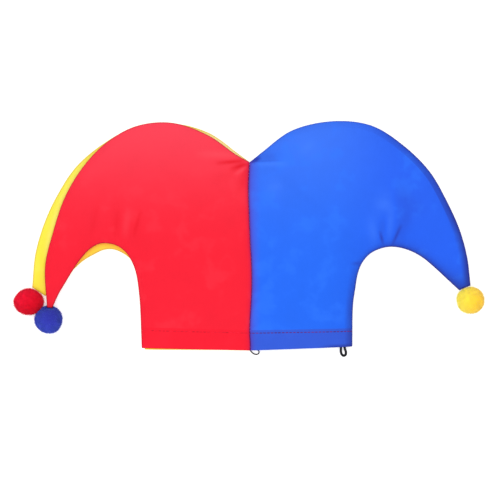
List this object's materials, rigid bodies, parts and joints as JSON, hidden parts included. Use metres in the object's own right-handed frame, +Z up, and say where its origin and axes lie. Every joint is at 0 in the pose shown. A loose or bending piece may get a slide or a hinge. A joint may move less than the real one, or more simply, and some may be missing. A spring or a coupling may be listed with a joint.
{
  "type": "jester hat",
  "caption": "Soft cloth jester hat lying flat, with red, blue and yellow horns, a folded hem, small elastic hem loops and a yarn pompom on each horn.",
  "frame": {"origin": "middle of the base of the hat's box, on the surface that the hat lies on, the elastic loops left out", "axes": "+X along the hem from the red horn to the blue horn, +Y from the hem towards the crown, +Z up from the surface"},
  "size_m": [0.4398, 0.2217, 0.0249],
  "materials": {
    "blue_cloth": "matt smooth polyester cloth, royal blue",
    "red_cloth": "matt smooth polyester cloth, bright red",
    "yellow_cloth": "matt smooth polyester cloth, warm yellow",
    "yellow_yarn": "fluffy cut acrylic yarn, yellow",
    "blue_yarn": "fluffy cut acrylic yarn, deep blue",
    "red_yarn": "fluffy cut acrylic yarn, red",
    "black_elastic": "braided round elastic, black"
  },
  "bodies": {
    "root": {"blue_front_panel": "blue_cloth", "blue_back_panel": "blue_cloth", "red_front_panel": "red_cloth", "red_back_panel": "red_cloth", "yellow_front_panel": "yellow_cloth", "yellow_back_panel": "yellow_cloth", "yellow_pompom": "yellow_yarn", "blue_pompom": "blue_yarn", "red_pompom": "red_yarn", "side_hem_loop": "black_elastic", "centre_hem_loop": "black_elastic"}
  },
  "joints": []
}
